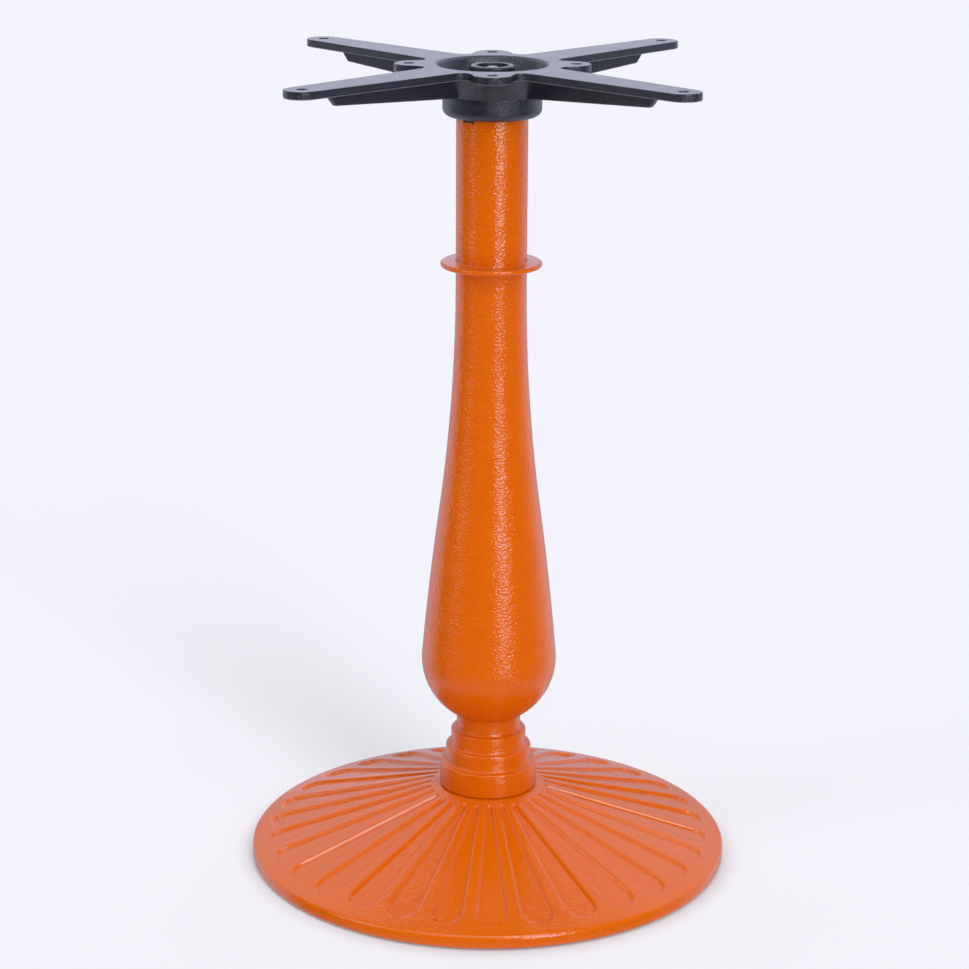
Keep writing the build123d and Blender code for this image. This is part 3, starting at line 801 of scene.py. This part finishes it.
radius, height = section[:, :1], section[:, 1:]
edge = radius * pi / FLUTES
half_width = (FLUTE_INNER_RADIUS + spread * (radius / cos(slope) - inner_reach)) / upright
half_width = np.minimum(np.maximum(half_width, FLUTE_INNER_RADIUS), FLUTE_SHARE * edge - LIP_OUT)
floor_stops = (half_width - LIP_IN) * np.linspace(0, 1, FLOOR_STEPS)
lip_stops = half_width - LIP_IN + (LIP_IN + LIP_OUT) * np.linspace(1 / LIP_STEPS, 1, LIP_STEPS)
rib_stops = half_width + LIP_OUT + (edge - half_width - LIP_OUT) * np.array([0.5, 1.0])
flute_stops = np.hstack([floor_stops, lip_stops, rib_stops])
even_stops = edge * np.linspace(0, 1, flute_stops.shape[1])
on_face = np.abs(height - on_cone(radius)) < 1e-6
half = np.where(on_face & (radius > SEAT_RADIUS + 1), flute_stops, even_stops)
angle = np.hstack([-half[:, :0:-1], half]) / radius
along = radius * (np.cos(angle) * cos(slope) + sin(slope) * tan(slope)) - inner_reach
depth = np.where(on_face, sunk_depth(along, radius * np.sin(angle)), 0)
reach = radius - depth * sin(slope)
places = np.stack([reach * np.cos(angle), reach * np.sin(angle), height - depth * cos(slope)],
                  axis=-1)
base = shaped_grid("fluted_base", places)
print("slice:", places.shape[0], "rows by", places.shape[1], "columns, deepest",
      round(float(depth.max()), 2), "mm")

# %% Spin the slice round
repeated(base, FLUTES, FLUTE_TURN)
print("dish:", len(base.data.polygons), "faces")

# %% [markdown]
# ## Ribs and glide bosses under the base
#
# Such dishes are stiffened underneath by a few straight ribs, and each glide screws into a round
# boss on its rib. They are seen only when the stand is tipped over. One rib is a web, a plane with
# four corners extruded to its thickness, and its boss is turned. The pair is copied to four places
# and joined to the dish with one union. Then the tapped holes are cut.

# %% Make a web
def web(name, corners, half_width, edge):
    """An upright web along the x axis: a plane on four corners, extruded and softened."""
    bpy.ops.object.select_all(action="DESELECT")
    bpy.ops.mesh.primitive_plane_add(size=1)
    piece = bpy.context.object
    piece.name = name
    low_in, low_out, high_out, high_in = corners
    face = [(x, -half_width, z) for x, z in (low_in, low_out, high_in, high_out)]
    piece.data.vertices.foreach_set("co", np.array(face).ravel() * MM)
    return edges_softened(raised(piece, (0, 2 * half_width, 0)), edge)


# %% Add the ribs and bosses
RIBS = 4
RIB_HALF, RIB_EDGE = 4.0, 1.5
RIB_CLEAR, RIB_LIFT, RIB_OVERLAP = 4.0, 1.5, 3.0
DIAGONAL = pi / 4
GLIDE_REACH = 170.0
GLIDE_BOSS_RADIUS, GLIDE_BOSS_EDGE = 10.0, 1.0
PAD_TOP = 6.2
STUD_RADIUS = 4.0
STUD_HOLE = 4.05
HOLE_ROOF = 3.5
HOLE_TOP = on_cone(GLIDE_REACH + STUD_RADIUS) - FLUTE_DEPTH / cos(slope) - HOLE_ROOF
BOSS_TOP = HOLE_TOP + 2

rib_in, rib_out = BOSS_RADIUS - RIB_OVERLAP, inside_rim + RIB_OVERLAP
rib_line = [(rib_in, BOSS_BOTTOM + RIB_LIFT), (rib_out, FLOOR_GAP + RIB_CLEAR),
            (rib_out, on_cone(inside_rim) - wall_drop / 2),
            (rib_in, on_cone(BOSS_RADIUS) - wall_drop / 2)]
ribs = web("base_rib", rib_line, RIB_HALF, RIB_EDGE)
boss_line = [(STUD_HOLE + 0.6, PAD_TOP, 0), (GLIDE_BOSS_RADIUS, PAD_TOP, GLIDE_BOSS_EDGE),
             (GLIDE_BOSS_RADIUS, BOSS_TOP, 0), (STUD_RADIUS, BOSS_TOP, 0)]
boss = moved(turned("glide_boss", softened(boss_line), 40, ring=False), (GLIDE_REACH, 0, 0))
combined(ribs, boss, "UNION")
combined(base, repeated(ribs, RIBS, DIAGONAL), "UNION")
hole_line = [(STUD_HOLE + 1.8, PAD_TOP - 1), (STUD_HOLE, PAD_TOP + 0.8), (STUD_HOLE, HOLE_TOP)]
holes = repeated(moved(turned("stud_hole", hole_line, 32, ring=False), (GLIDE_REACH, 0, 0)), RIBS,
                 DIAGONAL)
combined(base, holes, "DIFFERENCE")
dressed(tidied(base), orange_coat, "base_plate", smooth_angle=32)

# %% [markdown]
# ## The spider: a flat star
#
# The top is a flat star with four long arms and four short lugs between them. Every outline is
# made of circles and the straight lines that touch them, and the waists are rounded. One eighth of
# the outline is worked out from those circles, mirrored and turned, and laid on a circle of
# vertices, which is filled, extruded to the plate's thickness and bevelled like a casting's edge.

# %% Draw the star and raise it
SPIDER_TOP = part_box("top_spider")[1].z / MM
PLATE = 6.7
ARMS = 4
ARM_REACH = 303.0 / sqrt(2)
ARM_TIP, ARM_ROOT = 15.2, 22.6
LUG_REACH = 71.0
LUG_END_REACH = 67.5
LUG_TIP, LUG_ROOT = 16.2, 31.0
WAIST = 8.0
PLATE_EDGE, SHARP_EDGE = 0.8, 60
LUG_STEPS, ARM_STEPS, WAIST_STEPS = 9, 12, 8
ARM_STOPS = (0.3, 0.5, 0.7, 0.85)
PLATE_BOTTOM = SPIDER_TOP - PLATE


def tangent_side(root, tip, length):
    """Angle of the normal of the straight side that touches the circles at the root and the tip."""
    return pi / 2 - np.arcsin((root - tip) / length)


lug_normal = tangent_side(LUG_ROOT, LUG_TIP, LUG_END_REACH)
arm_normal = DIAGONAL - tangent_side(ARM_ROOT, ARM_TIP, ARM_REACH)
normals = np.array([[cos(lug_normal), sin(lug_normal)], [cos(arm_normal), sin(arm_normal)]])
waist = np.linalg.solve(normals, [LUG_ROOT, ARM_ROOT])
lug_arc = on_arc((LUG_END_REACH, 0), LUG_TIP, 0, lug_normal, LUG_STEPS)
arm_end = (ARM_REACH * cos(DIAGONAL), ARM_REACH * sin(DIAGONAL))
arm_arc = on_arc(arm_end, ARM_TIP, arm_normal, DIAGONAL, ARM_STEPS)
arm_side = [np.add(waist, np.subtract(arm_arc[0], waist) * share) for share in ARM_STOPS]
corners = [(*p, 0) for p in lug_arc] + [(*waist, WAIST)] + [(*p, 0) for p in arm_side + arm_arc]
eighth = softened(corners, WAIST_STEPS)
mirrored = [(y, x) for x, y in reversed(eighth)][1:-1]
quarter = np.array(eighth + mirrored)
turns = [np.array([[cos(a), -sin(a)], [sin(a), cos(a)]]) for a in (i * pi / 2 for i in range(ARMS))]
star = np.vstack([quarter @ turn.T for turn in turns])
bpy.ops.object.select_all(action="DESELECT")
bpy.ops.mesh.primitive_circle_add(vertices=len(star), radius=1, fill_type="NGON")
spider = bpy.context.object
spider.name = "top_spider_casting"
outline = np.column_stack([star, np.full(len(star), PLATE_BOTTOM)])
spider.data.vertices.foreach_set("co", outline.ravel() * MM)
edges_softened(raised(spider, (0, 0, PLATE)), PLATE_EDGE, SHARP_EDGE)
print("star:", len(star), "points in its outline,", len(spider.data.polygons), "faces")

# %% [markdown]
# ## Ribs, lug bosses and hub
#
# Under each arm runs a rib that is deepest at the hub and ends short of the tip in a straight
# slant. It is a web like those under the dish. The lug bosses and the hub are turned. All are sunk
# a little into the plate and united with it.

# %% Shape a rib and copy it
RIB_THICKNESS, ARM_RIB_EDGE = 6.0, 1.3
HUB_RADIUS = 42.6
CUP_BOTTOM = SPIDER_TOP - 25.2
RIB_START = 28.0
RIB_TIP_X = 180.0
RIB_TIP_DEPTH = 10.1
RIB_SLANT = 0.88
RIB_SUNK = 3.0

tip_low, rib_top = PLATE_BOTTOM - RIB_TIP_DEPTH, PLATE_BOTTOM + RIB_SUNK
root_low = tip_low - (RIB_TIP_X - RIB_START) * (tip_low - CUP_BOTTOM) / (RIB_TIP_X - HUB_RADIUS)
rib_line = [(RIB_START, root_low), (RIB_TIP_X, tip_low),
            (RIB_TIP_X + RIB_SLANT * (RIB_TIP_DEPTH + RIB_SUNK), rib_top), (RIB_START, rib_top)]
ribs = repeated(web("arm_rib", rib_line, RIB_THICKNESS / 2, ARM_RIB_EDGE), ARMS, DIAGONAL)
print("arm ribs:", len(ribs.data.polygons), "faces")

# %% Add the lug bosses and the hub
LUG_BOSS_TOP, LUG_BOSS_END = 9.4, 6.8
LUG_BOSS_END_Z = SPIDER_TOP - 19.0
HUB_TOP_RADIUS = 57.0
HUB_DEPTH = 44.2
HUB_ROUND = 7.0
HUB_SEGMENTS = 112
SUNK, SKIRT = 2.0, 0.3

sunk_top, skirt_low = PLATE_BOTTOM + SUNK, PLATE_BOTTOM - SKIRT
boss_line = softened([(LUG_BOSS_TOP + 2, sunk_top, 0), (LUG_BOSS_TOP + 2, skirt_low, 0),
                      (LUG_BOSS_TOP - 0.2, PLATE_BOTTOM - 1.0, 2.0),
                      (LUG_BOSS_END, LUG_BOSS_END_Z, 1.2), (3, LUG_BOSS_END_Z, 0)])
bosses = moved(turned("lug_boss", boss_line, 40, ring=False), (LUG_REACH, 0, 0))
combined(spider, repeated(bosses, ARMS, 0), "UNION")
hub_bottom = SPIDER_TOP - HUB_DEPTH
hub_line = softened([(20, hub_bottom, 0), (HUB_RADIUS, hub_bottom, HUB_ROUND),
                     (HUB_RADIUS, CUP_BOTTOM, 1.5), (HUB_TOP_RADIUS, skirt_low, 2),
                     (HUB_TOP_RADIUS + 1.5, sunk_top, 0), (20, sunk_top, 0)], 8)
combined(spider, turned("hub", hub_line, HUB_SEGMENTS, ring=False), "UNION")
combined(spider, ribs, "UNION")
print("spider with hub and ribs:", len(spider.data.polygons), "faces")

# %% [markdown]
# ## The bowl, the socket and the screw holes
#
# Everything hollow in the hub lies on one axis: the shallow bowl, the ring round the nut's recess,
# the hole for the tie rod and the socket that takes the column. So it is one turned solid, drawn as
# the outline of the empty space, with rounded lips, and cut away in one go. The screw holes follow
# in the same way. Weighted normals then keep the light even on the flat faces.

# %% Cut the hollows
BOWL_RADIUS, BOWL_FLOOR_RADIUS, BOWL_DEPTH = 48.0, 40.0, 14.0
RING_OUT, RING_BORE, RING_DROP = 19.0, 13.5, 1.2
NUT_SEAT = SPIDER_TOP - 18.5
SCREW_HOLE, SCREW_LIP = 4.0, 0.9
ABOVE = SPIDER_TOP + 3

bowl_floor = SPIDER_TOP - BOWL_DEPTH
ring_top = SPIDER_TOP - RING_DROP
hollow_line = softened([
    (5, ABOVE, 0), (BOWL_RADIUS + 2, ABOVE, 0), (BOWL_RADIUS + 2, SPIDER_TOP, 0),
    (BOWL_RADIUS, SPIDER_TOP - 0.5, 0), (BOWL_RADIUS - 2, SPIDER_TOP - 2.2, 2.5),
    (BOWL_FLOOR_RADIUS, bowl_floor, 6), (RING_OUT, bowl_floor, 3), (RING_OUT, ring_top, 1.6),
    (RING_BORE, ring_top, 0.8), (RING_BORE, NUT_SEAT, 0), (ROD_HOLE, NUT_SEAT, 0),
    (ROD_HOLE, COLUMN_TOP, 0), (SHAFT_RADIUS + FIT, COLUMN_TOP, 0),
    (SHAFT_RADIUS + FIT, hub_bottom - 2, 0), (5, hub_bottom - 2, 0)])
combined(spider, turned("hub_hollow", hollow_line, HUB_SEGMENTS, ring=False), "DIFFERENCE")
hole_low = LUG_BOSS_END_Z - 2
hole_line = softened([(2, ABOVE, 0), (SCREW_HOLE + SCREW_LIP, ABOVE, 0),
                      (SCREW_HOLE + SCREW_LIP, SPIDER_TOP, 0),
                      (SCREW_HOLE, SPIDER_TOP - SCREW_LIP, 0.8),
                      (SCREW_HOLE, hole_low, 0), (2, hole_low, 0)], 3)
for reach, start in [(ARM_REACH, DIAGONAL), (LUG_REACH, 0)]:
    holes = moved(turned("screw_holes", hole_line, 36, ring=False), (reach, 0, 0))
    combined(spider, repeated(holes, ARMS, start), "DIFFERENCE")
dressed(tidied(spider), black_coat, "top_spider", smooth_angle=32)
even = spider.modifiers.new("even_light", "WEIGHTED_NORMAL")
even.weight = 100
even.keep_sharp = True
only(spider)
bpy.ops.object.modifier_apply(modifier=even.name)

# %% [markdown]
# ## The tie rod, nuts and washers
#
# One long threaded rod pulls the three castings together. Only its ends show, so the thread is
# modelled there: the rod is turned with rings an eighth of the pitch apart, and every vertex
# is moved in by a triangle wave that climbs with the angle, which is a helix. A nut is a hexagon
# trimmed by a turned blank, which gives the curved chamfers of a real one.

# %% Cut a thread
THREAD_RINGS = 8
THREAD_DEPTH = 0.61


def threaded(name, bottom, top, radius, pitch, spans, segments=32, chamfer=1.5):
    """A turned rod with a helical thread on the given spans of its height, all in millimetres."""
    heights = sorted({bottom, bottom + chamfer, top - chamfer, top}
                     | {z for low, high in spans for z in evenly(low, high, pitch / THREAD_RINGS)})
    taper = [min(1.0, (min(z - bottom, top - z)) / chamfer) for z in heights]
    piece = turned(name, [(radius - chamfer * (1 - t), z) for t, z in zip(taper, heights)],
                   segments, ring=False)
    for vertex in piece.data.vertices:
        x, y, z = vertex.co / MM
        outward = sqrt(x * x + y * y)
        if outward > 0 and any(low <= z <= high for low, high in spans):
            phase = (z / pitch - atan2(y, x) / (2 * pi)) % 1
            groove = radius - THREAD_DEPTH * pitch * abs(2 * phase - 1)
            vertex.co.x, vertex.co.y = (c * min(outward, groove) / outward * MM for c in (x, y))
    return piece


ROD_RADIUS, ROD_PITCH, ROD_CHAMFER = 6.0, 1.75, 2.0
THREAD_LENGTH = 24.0
rod_low, rod_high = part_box("tie_rod")[0].z / MM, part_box("tie_rod")[1].z / MM
spans = [(rod_low, rod_low + THREAD_LENGTH), (rod_high - THREAD_LENGTH, rod_high)]
tie_rod = threaded("tie_rod_with_threads", rod_low, rod_high, ROD_RADIUS, ROD_PITCH, spans,
                   chamfer=ROD_CHAMFER)
dressed(tie_rod, zinc, "tie_rod", smooth_angle=50)

# %% Make the nuts and washers
NUT_FLATS, NUT_CHAMFER = 18.0, 0.9
NUT_FACE = NUT_FLATS / 2 - 0.2
NUT_BORE = ROD_RADIUS + 0.05
WASHER_RADIUS, WASHER_BORE, WASHER_SEAM = 12.0, 6.5, 9.0
nut_corner = NUT_FLATS / 2 / cos(pi / 6)
for end in ("top", "base"):
    low, high = (corner.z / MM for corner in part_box(end + "_nut"))
    bpy.ops.object.select_all(action="DESELECT")
    bpy.ops.mesh.primitive_cylinder_add(vertices=6, radius=nut_corner * MM, depth=(high - low) * MM,
                                        location=(0, 0, (low + high) / 2 * MM),
                                        rotation=(0, 0, pi / 2))
    nut = bpy.context.object
    nut.name = end + "_hexagon_nut"
    bpy.ops.object.transform_apply()
    blank_line = [(ROD_RADIUS + NUT_CHAMFER, low), (NUT_FACE, low),
                  (nut_corner, low + NUT_CHAMFER), (nut_corner, high - NUT_CHAMFER),
                  (NUT_FACE, high), (ROD_RADIUS + NUT_CHAMFER, high),
                  (NUT_BORE, high - NUT_CHAMFER), (NUT_BORE, low + NUT_CHAMFER)]
    combined(nut, turned("nut_blank", blank_line, 48), "INTERSECT")
    dressed(tidied(nut), zinc, end + "_nut", smooth_angle=25)
    low, high = (corner.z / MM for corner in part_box(end + "_washer"))
    washer_line = softened([(WASHER_SEAM, low, 0), (WASHER_RADIUS, low, 0.5),
                            (WASHER_RADIUS, high, 0.9), (WASHER_BORE, high, 0.4),
                            (WASHER_BORE, low, 0.4), (WASHER_SEAM - 0.1, low, 0)], 3)
    dressed(turned(end + "_plain_washer", washer_line, 48), zinc, end + "_washer")

# %% [markdown]
# ## The glides
#
# Each of the four glides is a nylon pad moulded on a steel stud, and turning it by hand levels the
# stand. Pad and stud are turned once for each place. The pad's floor edge is rounded so that it
# slides, its top edge is only broken, and shallow hollows are moulded into both its faces.

# %% Make the glides
STUD_PITCH, STUD_PLAY, STUD_CHAMFER = 1.25, 0.02, 0.8
STUD_PLAIN = 3.5
PAD_RADIUS, PAD_HEIGHT = 15.0, 6.0
PAD_HOLLOW, PAD_TOP_HOLLOW = 0.6, 0.5

for number in range(1, RIBS + 1):
    turn = DIAGONAL + (number - 1) * pi / 2
    stud_low, stud_high = (corner.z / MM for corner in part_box(f"foot_{number}_stud"))
    pad_line = softened([
        (STUD_RADIUS, stud_low, 0), (1, stud_low, 0), (1, PAD_HOLLOW, 0), (9, PAD_HOLLOW, 0.3),
        (9.8, 0, 0.4), (PAD_RADIUS, 0, 1.6), (PAD_RADIUS, PAD_HEIGHT, 0.7),
        (STUD_RADIUS + 3, PAD_HEIGHT, 0.3), (STUD_RADIUS + 2.4, PAD_HEIGHT - PAD_TOP_HOLLOW, 0.3),
        (STUD_RADIUS, PAD_HEIGHT - PAD_TOP_HOLLOW, 0)])
    pad = turned(f"foot_{number}_nylon_pad", pad_line, 56)
    dressed(moved(pad, (GLIDE_REACH, 0, 0), turn), nylon, f"foot_{number}_pad")
    stud = threaded(f"foot_{number}_threaded_stud", stud_low, stud_high, STUD_RADIUS - STUD_PLAY,
                    STUD_PITCH, [(stud_low + STUD_PLAIN, stud_high)], 28, STUD_CHAMFER)
    dressed(moved(stud, (GLIDE_REACH, 0, 0), turn), zinc, f"foot_{number}_stud", smooth_angle=50)
